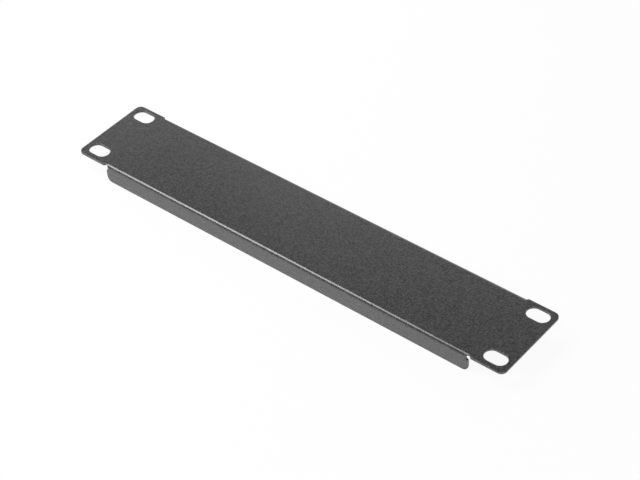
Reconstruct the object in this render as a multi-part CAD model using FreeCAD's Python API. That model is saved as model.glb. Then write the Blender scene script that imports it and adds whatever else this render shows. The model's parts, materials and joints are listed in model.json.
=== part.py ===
import FreeCAD, Part
import math
import os

# Rack blanking panel for a 10 inch rack, one rack unit high. It closes an unused unit.
# It is one sheet of steel. A flat blank is punched with four slots and four round bend
# reliefs, then the long edges of its middle are folded back through a right angle. The
# ends stay flat: they are the ears, and their rear faces seat on the rack's two rails.
#
# The panel lies as it comes to rest, face up on its folded flanges. X runs along it, Y
# across it, and +Z out of its front face. The origin is the centre of the four slots, in
# the plane of the ears' rear faces. All sizes are in millimetres.

# The rack: its unit of height, its columns of holes, and the screw that goes into them
RACK_UNIT = 44.45
HOLE_TO_UNIT_EDGE = 6.35
SLOT_PITCH_X = 236.525
SCREW_DIAMETER = 6.0

# Sheet and outline. The panel is a little lower than its unit, so that it slips in.
SHEET = 1.2
UNIT_GAP = 0.45
SLOTS_TO_EAR_END = 8.24
EAR_CORNER_RADIUS = 3.0

# Punching rolls the rims of the face side over, and the rims of the rear side are deburred
FACE_RIM_RADIUS = 0.25
REAR_RIM_CHAMFER = 0.1

# Slots for the rack screws. The four lie a little off the middle of the panel's height.
SLOT_CLEARANCE = 0.7
SLOT_STRAIGHT = 4.1
SLOT_OFFSET = 0.38

# Flanges, folded back from the long edges so that they pass between the rack's rails
SLOTS_TO_FLANGE = 10.26
PANEL_DEPTH = 10.0
FLANGE_CORNER_RADIUS = 3.0
BEND_INNER_RADIUS = 0.6
NEUTRAL_SHARE = 0.4

# Bend reliefs, punched in the flat blank at the ends of each flange. Each reaches in from
# the ear's long edge, and its centre lies a little beyond the flange's end.
RELIEF_RADIUS = 1.2
RELIEF_DEPTH = 1.0
RELIEF_BEYOND_FLANGE = 0.1

# Sizes that follow from the driving ones
HALF_LENGTH = SLOT_PITCH_X / 2 + SLOTS_TO_EAR_END
HALF_HEIGHT = (RACK_UNIT - UNIT_GAP) / 2
SLOT_PITCH_Y = RACK_UNIT - 2 * HOLE_TO_UNIT_EDGE
SLOT_RADIUS = SCREW_DIAMETER / 2 + SLOT_CLEARANCE
FLANGE_END = SLOT_PITCH_X / 2 - SLOTS_TO_FLANGE
FREE_EDGE_Z = SHEET - PANEL_DEPTH
RIGHT_ANGLE = math.pi / 2
BEND_OUTER_RADIUS = BEND_INNER_RADIUS + SHEET
BEND_START_Y = HALF_HEIGHT - BEND_OUTER_RADIUS
BEND_AXIS_Z = SHEET - BEND_OUTER_RADIUS

# The blank keeps its length along the neutral line of the sheet, so a hole's place in the
# bend and in the flange follows from its distance, in the flat, from the start of the bend
NEUTRAL_RADIUS = BEND_INNER_RADIUS + NEUTRAL_SHARE * SHEET
BEND_ALLOWANCE = NEUTRAL_RADIUS * RIGHT_ANGLE
RELIEF_X = FLANGE_END + RELIEF_BEYOND_FLANGE
RELIEF_Y = HALF_HEIGHT - RELIEF_DEPTH + RELIEF_RADIUS
RELIEF_FROM_BEND = RELIEF_Y - BEND_START_Y
RELIEF_Z = BEND_AXIS_Z - (RELIEF_FROM_BEND - BEND_ALLOWANCE)

# Cutters stand this far clear of the metal, and the wrapped one has this many sections
CLEAR = 1.0
WRAP_SECTIONS = 13

# A point this near to an edge lies on it
NEAR = 0.01
SIDES = (-1, 1)


def at(x, y, z):
    return FreeCAD.Vector(x, y, z)


def edges_through(solid, points):
    """The solid's edges that pass through any of the points."""
    marks = [Part.Vertex(point) for point in points]
    return [edge for edge in solid.Edges if any(edge.distToShape(mark)[0] < NEAR for mark in marks)]


def ease_rims(solid, face_points, rear_points):
    """Round the rims that pass through the face side's points, and chamfer the rear side's."""
    rounded = solid.makeFillet(FACE_RIM_RADIUS, edges_through(solid, face_points))
    return rounded.makeChamfer(REAR_RIM_CHAMFER, edges_through(rounded, rear_points))


def flat_sheet():
    """The flat of the sheet: two ears at full height, and the web between the two bends."""
    low_corner = at(-HALF_LENGTH, -HALF_HEIGHT, 0)
    sheet = Part.makeBox(2 * HALF_LENGTH, 2 * HALF_HEIGHT, SHEET, low_corner)
    corners = [at(sx * HALF_LENGTH, sy * HALF_HEIGHT, SHEET / 2) for sx in SIDES for sy in SIDES]
    sheet = sheet.makeFillet(EAR_CORNER_RADIUS, edges_through(sheet, corners))
    sheet = ease_rims(sheet, [at(0, HALF_HEIGHT, SHEET)], [at(0, HALF_HEIGHT, 0)])
    strip_width = BEND_OUTER_RADIUS + CLEAR
    for strip_y in (BEND_START_Y, -BEND_START_Y - strip_width):
        strip = Part.makeBox(2 * FLANGE_END, strip_width, SHEET, at(-FLANGE_END, strip_y, 0))
        sheet = sheet.cut(strip)
    for sx in SIDES:
        for sy in SIDES:
            foot = at(sx * RELIEF_X, sy * RELIEF_Y, -CLEAR)
            sheet = sheet.cut(Part.makeCylinder(RELIEF_RADIUS, SHEET + 2 * CLEAR, foot))
    return sheet


def on_bend(x, radius, angle):
    """Point of the far bend, at this distance from its axis and this angle from its start."""
    return at(x, BEND_START_Y + radius * math.sin(angle), BEND_AXIS_Z + radius * math.cos(angle))


def bend_arc(radius, first, last):
    angles = (first, (first + last) / 2, last)
    return Part.Arc(*[on_bend(-FLANGE_END, radius, angle) for angle in angles]).toShape()


def bend_edge(angle, first_radius, last_radius):
    ends = [on_bend(-FLANGE_END, radius, angle) for radius in (first_radius, last_radius)]
    return Part.LineSegment(*ends).toShape()


def wrapped_relief():
    """Cutter for the relief at the bend's right end: the round hole, wrapped about the bend."""
    inner = BEND_INNER_RADIUS / 2
    outer = BEND_OUTER_RADIUS + CLEAR
    right = RELIEF_X + CLEAR
    sections = []
    for step in range(WRAP_SECTIONS):
        turn = math.pi * step / (WRAP_SECTIONS - 1)
        angle = (RELIEF_FROM_BEND - RELIEF_RADIUS * math.cos(turn)) / NEUTRAL_RADIUS
        left = RELIEF_X - RELIEF_RADIUS * math.sin(turn)
        corners = [(left, inner), (left, outer), (right, outer), (right, inner), (left, inner)]
        sections.append(Part.makePolygon([on_bend(x, radius, angle) for x, radius in corners]))
    return Part.makeLoft(sections, True)


def bend():
    """The far bend: a quarter of a tube, with the middle of a relief at each end."""
    outline = [
        bend_arc(BEND_OUTER_RADIUS, 0, RIGHT_ANGLE),
        bend_edge(RIGHT_ANGLE, BEND_OUTER_RADIUS, BEND_INNER_RADIUS),
        bend_arc(BEND_INNER_RADIUS, RIGHT_ANGLE, 0),
        bend_edge(0, BEND_INNER_RADIUS, BEND_OUTER_RADIUS),
    ]
    tube = Part.Face(Part.Wire(outline)).extrude(at(2 * FLANGE_END, 0, 0))
    right_relief = wrapped_relief()
    left_relief = right_relief.mirror(at(0, 0, 0), at(1, 0, 0))
    return tube.cut(right_relief).cut(left_relief)


def flange():
    """The far flange: a flat strip with two round lower corners, and the reliefs' last part."""
    inner_y = HALF_HEIGHT - SHEET
    low_corner = at(-FLANGE_END, inner_y, FREE_EDGE_Z)
    strip = Part.makeBox(2 * FLANGE_END, SHEET, BEND_AXIS_Z - FREE_EDGE_Z, low_corner)
    corners = [at(sx * FLANGE_END, inner_y + SHEET / 2, FREE_EDGE_Z) for sx in SIDES]
    strip = strip.makeFillet(FLANGE_CORNER_RADIUS, edges_through(strip, corners))
    strip = ease_rims(strip, [at(0, HALF_HEIGHT, FREE_EDGE_Z)], [at(0, inner_y, FREE_EDGE_Z)])
    for sx in SIDES:
        start = at(sx * RELIEF_X, inner_y - CLEAR, RELIEF_Z)
        strip = strip.cut(Part.makeCylinder(RELIEF_RADIUS, SHEET + 2 * CLEAR, start, at(0, 1, 0)))
    return strip


def slot(x, y):
    """Cutter for one slot, with round ends and its long side along X."""
    left_x = x - SLOT_STRAIGHT / 2
    right_x = x + SLOT_STRAIGHT / 2
    depth = SHEET + 2 * CLEAR
    middle = Part.makeBox(SLOT_STRAIGHT, 2 * SLOT_RADIUS, depth, at(left_x, y - SLOT_RADIUS, -CLEAR))
    ends = [Part.makeCylinder(SLOT_RADIUS, depth, at(end_x, y, -CLEAR)) for end_x in (left_x, right_x)]
    return middle.fuse(ends).removeSplitter()


def blanking_panel():
    """The whole panel, with its slots at their standard places about the origin."""
    far_fold = bend().fuse(flange())
    near_fold = far_fold.mirror(at(0, 0, 0), at(0, 1, 0))
    panel = flat_sheet().fuse([far_fold, near_fold]).removeSplitter()
    panel.translate(at(0, -SLOT_OFFSET, 0))
    centres = [(sx * SLOT_PITCH_X / 2, sy * SLOT_PITCH_Y / 2) for sx in SIDES for sy in SIDES]
    for x, y in centres:
        panel = panel.cut(slot(x, y))
    face_points = [at(x, y + SLOT_RADIUS, SHEET) for x, y in centres]
    rear_points = [at(x, y + SLOT_RADIUS, 0) for x, y in centres]
    return ease_rims(panel, face_points, rear_points)


os.makedirs("parts", exist_ok=True)
blanking_panel().exportStep("parts/blanking_panel.step")
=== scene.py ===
import json
import math

import bmesh
import bpy
from mathutils import Matrix, Vector


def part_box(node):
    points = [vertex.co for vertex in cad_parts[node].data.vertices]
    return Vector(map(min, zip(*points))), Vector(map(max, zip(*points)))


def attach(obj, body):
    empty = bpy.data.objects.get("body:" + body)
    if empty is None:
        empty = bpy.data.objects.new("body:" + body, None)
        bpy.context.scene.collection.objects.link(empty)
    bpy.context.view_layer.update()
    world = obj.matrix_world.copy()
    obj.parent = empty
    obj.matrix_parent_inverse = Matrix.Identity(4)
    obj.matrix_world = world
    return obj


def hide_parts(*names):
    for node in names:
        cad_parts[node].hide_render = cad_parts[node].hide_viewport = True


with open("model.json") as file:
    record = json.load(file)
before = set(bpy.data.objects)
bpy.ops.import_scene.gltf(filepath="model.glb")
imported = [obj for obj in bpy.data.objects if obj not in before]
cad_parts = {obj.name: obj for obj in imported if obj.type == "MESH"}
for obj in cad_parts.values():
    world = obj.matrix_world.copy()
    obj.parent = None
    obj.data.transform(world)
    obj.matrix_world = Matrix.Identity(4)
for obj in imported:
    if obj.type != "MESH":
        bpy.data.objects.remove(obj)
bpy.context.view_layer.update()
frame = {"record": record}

# The panel
# One piece of sheet steel that closes an unused unit of a rack. It is punched flat, with two
# ears, a slot for each rail screw and a small round relief at each end of both fold lines,
# then its long edges are folded back in a press brake and the whole is powder coated.
MM = 0.001
NODE = "blanking_panel"
low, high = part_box(NODE)
mount_sizes = {mount["name"]: mount["dims"] for mount in frame["record"]["mounts"]}
rail_slots = mount_sizes["rail_slots"]
SLOT_PITCH_X = rail_slots["spacing_x_mm"] * MM
SLOT_PITCH_Y = rail_slots["spacing_y_mm"] * MM
SLOT_RADIUS = rail_slots["hole_r_mm"] * MM
SLOT_HALF_STRAIGHT = rail_slots["slot_length_mm"] * MM / 2 - SLOT_RADIUS
HALF_LENGTH = (high.x - low.x) / 2
HALF_HEIGHT = (high.y - low.y) / 2
MIDDLE_Y = (high.y + low.y) / 2
SHEET = high.z

# The blank lies on the plane of the ears' rear faces, about the middle of the panel's height.
# Its flange strips are as long as the folded ones are along the neutral line of the sheet.
QUARTER_TURN = math.pi / 2
BEND_INNER_RADIUS = 0.6 * MM
NEUTRAL_SHARE = 0.4
NEUTRAL_RADIUS = BEND_INNER_RADIUS + NEUTRAL_SHARE * SHEET
BEND_ALLOWANCE = NEUTRAL_RADIUS * QUARTER_TURN
FOLD_LINE_Y = HALF_HEIGHT - SHEET - BEND_INNER_RADIUS
STRIP_EDGE_Y = FOLD_LINE_Y + BEND_ALLOWANCE - BEND_INNER_RADIUS - low.z

# The corners and the reliefs. On both sides of a relief the metal ends in a small round tip.
EAR_CORNER_RADIUS = 3.0 * MM
SLOTS_TO_FLANGE = 10.26 * MM
FLANGE_END = SLOT_PITCH_X / 2 - SLOTS_TO_FLANGE
FLANGE_CORNER_RADIUS = 3.0 * MM
RELIEF_RADIUS = 1.2 * MM
RELIEF_DEPTH = 1.0 * MM
RELIEF_BEYOND_FLANGE = 0.1 * MM
RELIEF = Vector((FLANGE_END + RELIEF_BEYOND_FLANGE, HALF_HEIGHT - RELIEF_DEPTH + RELIEF_RADIUS))
TIP_RADIUS = 0.3 * MM

# The face side's rims are rolled over by the punch, the rear side's only deburred
FACE_RIM = 0.25 * MM
FACE_RIM_STEPS = 5
REAR_RIM = 0.1 * MM
REAR_RIM_STEPS = 2
CORNER_STEPS = 12
TIP_STEPS = 4
RELIEF_STEPS = 30
SLOT_END_STEPS = 24


def arc(centre, radius, start, end, steps):
    """Points along an arc about centre, from one angle to another, in radians."""
    angles = [start + (end - start) * step / steps for step in range(steps + 1)]
    spokes = [Vector((math.cos(angle), math.sin(angle))) for angle in angles]
    return [Vector(centre) + radius * spoke for spoke in spokes]


def far_right_quarter():
    """The blank's outline from the right ear's end to the middle of the far strip."""
    ear_corner = (HALF_LENGTH - EAR_CORNER_RADIUS, HALF_HEIGHT - EAR_CORNER_RADIUS)
    strip_corner = (FLANGE_END - FLANGE_CORNER_RADIUS, STRIP_EDGE_Y - FLANGE_CORNER_RADIUS)
    reach = RELIEF_RADIUS + TIP_RADIUS
    ear_tip_y = HALF_HEIGHT - TIP_RADIUS
    ear_tip_x = RELIEF.x + math.sqrt(reach**2 - (ear_tip_y - RELIEF.y) ** 2)
    strip_tip_x = FLANGE_END - TIP_RADIUS
    strip_tip_y = RELIEF.y + math.sqrt(reach**2 - (strip_tip_x - RELIEF.x) ** 2)
    ear_tip = (ear_tip_x, ear_tip_y)
    strip_tip = (strip_tip_x, strip_tip_y)
    to_ear = math.atan2(ear_tip_y - RELIEF.y, ear_tip_x - RELIEF.x)
    to_strip = math.atan2(strip_tip_y - RELIEF.y, strip_tip_x - RELIEF.x)
    points = arc(ear_corner, EAR_CORNER_RADIUS, 0, QUARTER_TURN, CORNER_STEPS)
    points += arc(ear_tip, TIP_RADIUS, QUARTER_TURN, to_ear + math.pi, TIP_STEPS)
    points += arc(RELIEF, RELIEF_RADIUS, to_ear, to_strip - math.tau, RELIEF_STEPS)[1:-1]
    points += arc(strip_tip, TIP_RADIUS, to_strip - math.pi, 0, TIP_STEPS)
    points += arc(strip_corner, FLANGE_CORNER_RADIUS, 0, QUARTER_TURN, CORNER_STEPS)
    return points


def outline():
    """The whole outline, with the metal on the left of its direction."""
    far_right = far_right_quarter()
    far_left = [Vector((-point.x, point.y)) for point in reversed(far_right)]
    far = far_right + far_left
    return far + [-point for point in far]


def slot(centre):
    """One slot's outline, also with the metal on the left of its direction."""
    right = centre + Vector((SLOT_HALF_STRAIGHT, 0))
    left = centre - Vector((SLOT_HALF_STRAIGHT, 0))
    right_end = arc(right, SLOT_RADIUS, QUARTER_TURN, -QUARTER_TURN, SLOT_END_STEPS)
    return right_end + arc(left, SLOT_RADIUS, -QUARTER_TURN, -3 * QUARTER_TURN, SLOT_END_STEPS)


def inset(loop, distance):
    """The closed outline moved into the metal by a distance."""
    moved = []
    for before, point, after in zip(loop[-1:] + loop[:-1], loop, loop[1:] + loop[:1]):
        arriving = (point - before).normalized().orthogonal()
        leaving = (after - point).normalized().orthogonal()
        moved.append(point + (arriving + leaving) * distance / (1 + arriving.dot(leaving)))
    return moved


def rim_profile():
    """How far in from the outline the sheet's edge is, at each height from rear to face."""
    profile = []
    for step in range(REAR_RIM_STEPS + 1):
        turn = QUARTER_TURN * step / REAR_RIM_STEPS
        profile.append((REAR_RIM * (1 - math.sin(turn)), REAR_RIM * (1 - math.cos(turn))))
    for step in range(FACE_RIM_STEPS + 1):
        turn = QUARTER_TURN * step / FACE_RIM_STEPS
        profile.append((FACE_RIM * (1 - math.cos(turn)), SHEET - FACE_RIM * (1 - math.sin(turn))))
    return profile


def punched_blank():
    """The flat blank as a closed mesh."""
    slot_x = SLOT_PITCH_X / 2
    slot_y = SLOT_PITCH_Y / 2
    centres = [Vector((x, y - MIDDLE_Y)) for x in (-slot_x, slot_x) for y in (-slot_y, slot_y)]
    blank = bmesh.new()
    for loop in [outline()] + [slot(centre) for centre in centres]:
        rings = []
        for depth, height in rim_profile():
            ring = [blank.verts.new((point.x, point.y, height)) for point in inset(loop, depth)]
            rings.append(ring)
        for lower, upper in zip(rings, rings[1:]):
            for here in range(len(loop)):
                there = (here + 1) % len(loop)
                blank.faces.new((lower[here], lower[there], upper[there], upper[here]))
    open_edges = [edge for edge in blank.edges if edge.is_boundary]
    for face_side in (False, True):
        rim = [edge for edge in open_edges if (edge.verts[0].co.z > SHEET / 2) == face_side]
        bmesh.ops.triangle_fill(blank, edges=rim, use_beauty=True, use_dissolve=False)
    bmesh.ops.recalc_face_normals(blank, faces=blank.faces)
    return blank


# The fold and the reliefs bend the metal, so the blank's faces are cut along lines there
BEND_CUTS = 12
RELIEF_CUTS = 8
SAME_POINT = 0.0001 * MM


def cut_along(blank, axis, places):
    """Cut the blank's faces where each plane square to the axis meets them."""
    for place in places:
        everything = blank.verts[:] + blank.edges[:] + blank.faces[:]
        bmesh.ops.bisect_plane(
            blank, geom=everything, dist=SAME_POINT, plane_co=axis * place, plane_no=axis
        )


blank = punched_blank()
fold_lines = [FOLD_LINE_Y + BEND_ALLOWANCE * cut / BEND_CUTS for cut in range(BEND_CUTS + 1)]
relief_lines = [
    RELIEF.x + RELIEF_RADIUS * (2 * cut / RELIEF_CUTS - 1) for cut in range(RELIEF_CUTS + 1)
]
for side in (-1, 1):
    cut_along(blank, Vector((0, 1, 0)), [side * place for place in fold_lines])
    cut_along(blank, Vector((1, 0, 0)), [side * place for place in relief_lines])
bmesh.ops.triangulate(blank, faces=blank.faces)
sheet_mesh = bpy.data.meshes.new("folded_sheet")
blank.to_mesh(sheet_mesh)
blank.free()
panel = bpy.data.objects.new("folded_sheet", sheet_mesh)
bpy.context.scene.collection.objects.link(panel)

# The finish is a fine-textured dark grey powder coat: satin polyester, baked on, that flowed
# out into low grains under a millimetre across. Its gloss is a little uneven, and its colour is
# darker in the grains' pits, which is painted shade.
# The pit colour is painted shade in the grain's hollows; the top colour is the coat's own.
COAT_PIT_PAINTED_SHADE = (0.012, 0.012, 0.012, 1)
COAT_TOP_COLOUR = (0.068, 0.068, 0.068, 1)
COAT_ROUGHNESS = (0.26, 0.36)
COAT_IOR = 1.87
GRAIN_PER_METRE = 1100
GRAIN_DETAIL = 2
GRAIN_RANGE = (0.3, 0.7)
GRAIN_HEIGHT = 0.04 * MM
FINE_GRAIN_PER_METRE = 2600
FINE_GRAIN_DETAIL = 1
FINE_GRAIN_HEIGHT = 0.02 * MM
CLOUDS_PER_METRE = 60
CLOUD_DETAIL = 3
FULL_RANGE = (0, 1)

coat = bpy.data.materials.new("fine_textured_powder_coat")
coat.use_nodes = True
coat_nodes = coat.node_tree.nodes
coat_links = coat.node_tree.links
surface = coat_nodes["Principled BSDF"]
surface.inputs["IOR"].default_value = COAT_IOR
coordinates = coat_nodes.new("ShaderNodeTexCoord")


def noise(per_metre, detail):
    """A noise that is fixed to the panel, with this many grains to a metre."""
    texture = coat_nodes.new("ShaderNodeTexNoise")
    texture.inputs["Scale"].default_value = per_metre
    texture.inputs["Detail"].default_value = detail
    coat_links.new(coordinates.outputs["Object"], texture.inputs["Vector"])
    return texture.outputs["Fac"]


def spread(value, own_range, new_range):
    """The value, stretched from its own range to a new one."""
    stretch = coat_nodes.new("ShaderNodeMapRange")
    stretch.inputs["From Min"].default_value, stretch.inputs["From Max"].default_value = own_range
    stretch.inputs["To Min"].default_value, stretch.inputs["To Max"].default_value = new_range
    coat_links.new(value, stretch.inputs["Value"])
    return stretch.outputs["Result"]


grain = noise(GRAIN_PER_METRE, GRAIN_DETAIL)
fine_grain = noise(FINE_GRAIN_PER_METRE, FINE_GRAIN_DETAIL)
clouds = noise(CLOUDS_PER_METRE, CLOUD_DETAIL)

# The base colour darkens where the grain is low. This is painted shade in the pits, not a tone
# the coat has.
painted_pit_shade_mix = coat_nodes.new("ShaderNodeMix")
painted_pit_shade_mix.data_type = "RGBA"
pit_painted_shade, top_colour = [socket for socket in painted_pit_shade_mix.inputs if socket.type == "RGBA"]
mixed_colour = next(socket for socket in painted_pit_shade_mix.outputs if socket.type == "RGBA")
pit_painted_shade.default_value = COAT_PIT_PAINTED_SHADE
top_colour.default_value = COAT_TOP_COLOUR
coat_links.new(spread(grain, GRAIN_RANGE, FULL_RANGE), painted_pit_shade_mix.inputs["Factor"])
coat_links.new(mixed_colour, surface.inputs["Base Color"])
coat_links.new(spread(clouds, FULL_RANGE, COAT_ROUGHNESS), surface.inputs["Roughness"])

grain_bump = coat_nodes.new("ShaderNodeBump")
grain_bump.inputs["Distance"].default_value = GRAIN_HEIGHT
coat_links.new(grain, grain_bump.inputs["Height"])
fine_bump = coat_nodes.new("ShaderNodeBump")
fine_bump.inputs["Distance"].default_value = FINE_GRAIN_HEIGHT
coat_links.new(fine_grain, fine_bump.inputs["Height"])
coat_links.new(grain_bump.outputs["Normal"], fine_bump.inputs["Normal"])
coat_links.new(fine_bump.outputs["Normal"], surface.inputs["Normal"])

# The fold turns each strip about its bend through a right angle. Beside a relief the turn
# fades out into the flat ear. What lies beyond the relief is all flange, so it turns fully.
LEAST_SHARE = 0.001
fold = bpy.data.node_groups.new("Fold long edges", "GeometryNodeTree")
fold.interface.new_socket("Geometry", in_out="INPUT", socket_type="NodeSocketGeometry")
fold.interface.new_socket("Geometry", in_out="OUTPUT", socket_type="NodeSocketGeometry")
fold_sizes = {
    "Fold line": FOLD_LINE_Y,
    "Neutral radius": NEUTRAL_RADIUS,
    "Neutral height": NEUTRAL_SHARE * SHEET,
    "Fold angle": QUARTER_TURN,
    "Relief along": RELIEF.x,
    "Relief across": RELIEF.y,
    "Relief radius": RELIEF_RADIUS,
}
fold_sockets = {
    name: fold.interface.new_socket(name, in_out="INPUT", socket_type="NodeSocketFloat")
    for name in fold_sizes
}
fold_sockets["Coat"] = fold.interface.new_socket(
    "Coat", in_out="INPUT", socket_type="NodeSocketMaterial"
)
given = fold.nodes.new("NodeGroupInput").outputs


def calculate(operation, *values):
    """The result of one Math node in the fold's tree."""
    node = fold.nodes.new("ShaderNodeMath")
    node.operation = operation
    for socket, value in zip(node.inputs, values):
        if isinstance(value, bpy.types.NodeSocket):
            fold.links.new(value, socket)
        else:
            socket.default_value = value
    return node.outputs["Value"]


position = fold.nodes.new("GeometryNodeInputPosition")
flat = fold.nodes.new("ShaderNodeSeparateXYZ")
fold.links.new(position.outputs["Position"], flat.inputs["Vector"])
along = calculate("ABSOLUTE", flat.outputs["X"])
across = calculate("ABSOLUTE", flat.outputs["Y"])

fading = fold.nodes.new("ShaderNodeMapRange")
fading.interpolation_type = "SMOOTHSTEP"
fading.inputs["To Min"].default_value = 1
fading.inputs["To Max"].default_value = 0
fade_start = calculate("SUBTRACT", given["Relief along"], given["Relief radius"])
fade_end = calculate("ADD", given["Relief along"], given["Relief radius"])
fold.links.new(along, fading.inputs["Value"])
fold.links.new(fade_start, fading.inputs["From Min"])
fold.links.new(fade_end, fading.inputs["From Max"])
all_flange = calculate("GREATER_THAN", across, given["Relief across"])
share = calculate("MAXIMUM", fading.outputs["Result"], all_flange)
share = calculate("MAXIMUM", share, LEAST_SHARE)

past_line = calculate("MAXIMUM", calculate("SUBTRACT", across, given["Fold line"]), 0)
allowance = calculate("MULTIPLY", given["Neutral radius"], given["Fold angle"])
in_bend = calculate("MINIMUM", past_line, allowance)
beyond = calculate("SUBTRACT", past_line, in_bend)
full_turn = calculate("DIVIDE", in_bend, given["Neutral radius"])
turned = calculate("MULTIPLY", full_turn, share)
radius = calculate("DIVIDE", given["Neutral radius"], share)
height = calculate("SUBTRACT", flat.outputs["Z"], given["Neutral height"])
arm = calculate("ADD", radius, height)
sine = calculate("SINE", turned)
cosine = calculate("COSINE", turned)

out = calculate("MINIMUM", across, given["Fold line"])
out = calculate("MULTIPLY_ADD", arm, sine, out)
out = calculate("MULTIPLY_ADD", beyond, cosine, out)
out = calculate("MULTIPLY", out, calculate("SIGN", flat.outputs["Y"]))
drop = calculate("MULTIPLY_ADD", beyond, sine, radius)
up = calculate("MULTIPLY_ADD", arm, cosine, given["Neutral height"])
up = calculate("SUBTRACT", up, drop)

folded = fold.nodes.new("ShaderNodeCombineXYZ")
place_folded = fold.nodes.new("GeometryNodeSetPosition")
realize = fold.nodes.new("GeometryNodeRealizeInstances")
set_coat = fold.nodes.new("GeometryNodeSetMaterial")
result = fold.nodes.new("NodeGroupOutput")
fold.links.new(flat.outputs["X"], folded.inputs["X"])
fold.links.new(out, folded.inputs["Y"])
fold.links.new(up, folded.inputs["Z"])
fold.links.new(given["Geometry"], place_folded.inputs["Geometry"])
fold.links.new(folded.outputs["Vector"], place_folded.inputs["Position"])
fold.links.new(place_folded.outputs["Geometry"], realize.inputs["Geometry"])
fold.links.new(realize.outputs["Geometry"], set_coat.inputs["Geometry"])
fold.links.new(given["Coat"], set_coat.inputs["Material"])
fold.links.new(set_coat.outputs["Geometry"], result.inputs["Geometry"])

press = panel.modifiers.new("Press brake", "NODES")
press.node_group = fold
for name, size in fold_sizes.items():
    press[fold_sockets[name].identifier] = size
press[fold_sockets["Coat"].identifier] = coat
pressed = panel.evaluated_get(bpy.context.evaluated_depsgraph_get())
panel.data = bpy.data.meshes.new_from_object(pressed)
panel.modifiers.clear()
panel.data.transform(Matrix.Translation((0, MIDDLE_Y, 0)))
panel.data.shade_smooth()
panel.modifiers.new("Even shading", "WEIGHTED_NORMAL")

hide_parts(NODE)
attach(panel, "root")

# The floor
# A plain white floor that the panel lies on, face up on the edges of its flanges. What the
# camera and the panel's gloss see of it is mostly its own white, with the shadow left in it.
FLOOR_HALF_WIDTH = 8
FLOOR_COLOUR = (0.92, 0.92, 0.92, 1)
FLOOR_WHITE_SHARE = 0.92
floor_mesh = bpy.data.meshes.new("floor")
corners = [(-1, -1), (1, -1), (1, 1), (-1, 1)]
floor_corners = [(x * FLOOR_HALF_WIDTH, y * FLOOR_HALF_WIDTH, low.z) for x, y in corners]
floor_mesh.from_pydata(floor_corners, [], [(0, 1, 2, 3)])
floor = bpy.data.objects.new("floor", floor_mesh)
bpy.context.scene.collection.objects.link(floor)

floor_paint = bpy.data.materials.new("white_floor")
floor_paint.use_nodes = True
floor_nodes = floor_paint.node_tree.nodes
floor_links = floor_paint.node_tree.links
floor_nodes.remove(floor_nodes["Principled BSDF"])
matt = floor_nodes.new("ShaderNodeBsdfDiffuse")
matt.inputs["Color"].default_value = FLOOR_COLOUR
white = floor_nodes.new("ShaderNodeEmission")
rays = floor_nodes.new("ShaderNodeLightPath")
seen = rays.outputs["Is Camera Ray"]
for ray in ("Is Glossy Ray", "Is Transmission Ray"):
    either = floor_nodes.new("ShaderNodeMath")
    either.operation = "MAXIMUM"
    floor_links.new(seen, either.inputs[0])
    floor_links.new(rays.outputs[ray], either.inputs[1])
    seen = either.outputs["Value"]
white_share = floor_nodes.new("ShaderNodeMath")
white_share.operation = "MULTIPLY"
white_share.inputs[1].default_value = FLOOR_WHITE_SHARE
floor_links.new(seen, white_share.inputs[0])
blend = floor_nodes.new("ShaderNodeMixShader")
floor_links.new(white_share.outputs["Value"], blend.inputs["Fac"])
floor_links.new(matt.outputs["BSDF"], blend.inputs[1])
floor_links.new(white.outputs["Emission"], blend.inputs[2])
floor_links.new(blend.outputs["Shader"], floor_nodes["Material Output"].inputs["Surface"])
floor_mesh.materials.append(floor_paint)

# The light
# A dim grey room with soft lamps that all face the panel. The near bend mirrors the main one
# towards the camera as a bright line. The two strips behind are faint, and give the face its
# sheen. Places and sizes are in metres.
ROOM_COLOUR = (1, 1, 1, 1)
ROOM_LEVEL = 0.08
SOFTBOXES = {
    "main": {"place": (-0.407, -0.22, 0.65), "size": (0.4, 0.4), "watts": 3.4},
    "front left": {"place": (-0.72, -0.43, 0.6), "size": (0.4, 0.4), "watts": 2.2},
    "front right": {"place": (0.6, -0.6, 0.7), "size": (0.6, 0.6), "watts": 5.1},
    "left wall": {"place": (-1.2, 0, 0.4), "size": (1.2, 0.8), "watts": 3.5},
    "back wall": {"place": (0, 1.2, 0.4), "size": (1.6, 0.8), "watts": 4.3},
    "high strip": {"place": (-0.1, 0.25, 0.2), "size": (0.3, 0.08), "watts": 0.047},
    "left strip": {"place": (-0.2, 0.2, 0.12), "size": (0.3, 0.08), "watts": 0.05},
}
world = bpy.data.worlds.new("grey_room")
world.use_nodes = True
room = world.node_tree.nodes["Background"]
room.inputs["Color"].default_value = ROOM_COLOUR
room.inputs["Strength"].default_value = ROOM_LEVEL
bpy.context.scene.world = world
for name, softbox in SOFTBOXES.items():
    lamp = bpy.data.lights.new(name, "AREA")
    lamp.shape = "RECTANGLE"
    lamp.size, lamp.size_y = softbox["size"]
    lamp.energy = softbox["watts"]
    stand = bpy.data.objects.new(name, lamp)
    stand.location = softbox["place"]
    stand.rotation_euler = stand.location.to_track_quat("Z", "Y").to_euler()
    stand.visible_camera = False
    bpy.context.scene.collection.objects.link(stand)

# The camera
# A long lens from the right of the panel's near edge, looking down on it, and tipped a few
# degrees about its own axis, as in the photograph.
CAMERA_PLACE = Vector((0.4266, -0.4635, 0.5682))
CAMERA_AIM = Vector((0.0098, -0.0019, 0))
CAMERA_TIP = math.radians(4.135)
CAMERA_LENS_MM = 103.08
SENSOR_WIDTH_MM = 36
view = bpy.data.cameras.new("camera")
view.lens = CAMERA_LENS_MM
view.sensor_width = SENSOR_WIDTH_MM
camera = bpy.data.objects.new("camera", view)
level = (CAMERA_AIM - CAMERA_PLACE).to_track_quat("-Z", "Y").to_matrix().to_4x4()
tipped = level @ Matrix.Rotation(-CAMERA_TIP, 4, "Z")
camera.matrix_world = Matrix.Translation(CAMERA_PLACE) @ tipped
bpy.context.scene.collection.objects.link(camera)
bpy.context.scene.camera = camera
bpy.context.scene.view_settings.view_transform = "Standard"
